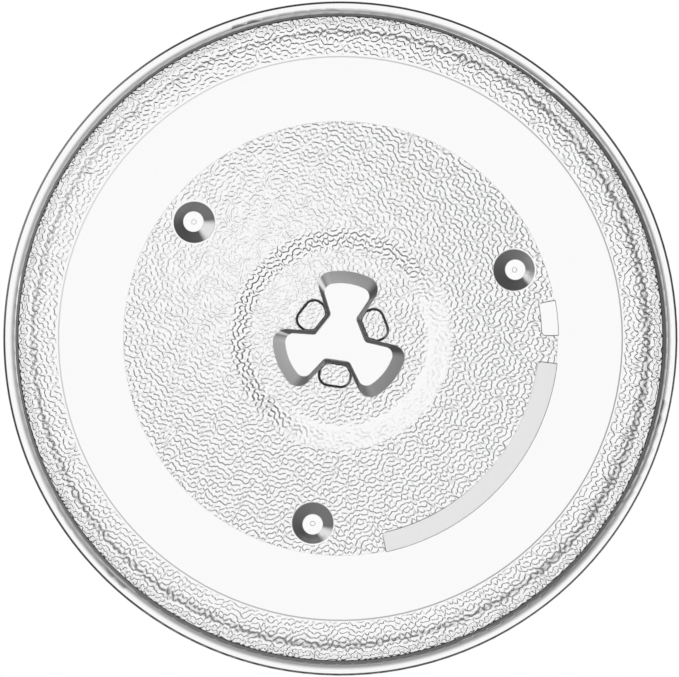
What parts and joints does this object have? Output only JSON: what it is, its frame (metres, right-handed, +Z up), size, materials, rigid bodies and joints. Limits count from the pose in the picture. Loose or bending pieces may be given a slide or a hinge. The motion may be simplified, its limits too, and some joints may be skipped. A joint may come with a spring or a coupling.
{
  "type": "microwave turntable plate",
  "caption": "Round clear pressed-glass turntable plate with a low rim; underneath are a lobed drive socket with raised lugs, a smooth roller track, small feet and a fine grain.",
  "frame": {"origin": "on the plate's axis, in the plane of the three foot tips that it stands on", "axes": "+Z up along the plate's axis, out of the dish; +X through the middle of the first lobe of the drive socket, which is near the middle of the long smooth field"},
  "size_m": [0.27, 0.27, 0.0206],
  "materials": {
    "clear_glass": "clear pressed glass, smooth on the dish side and the roller track, finely grained elsewhere underneath"
  },
  "bodies": {
    "root": {"turntable_plate": "clear_glass"}
  },
  "joints": []
}
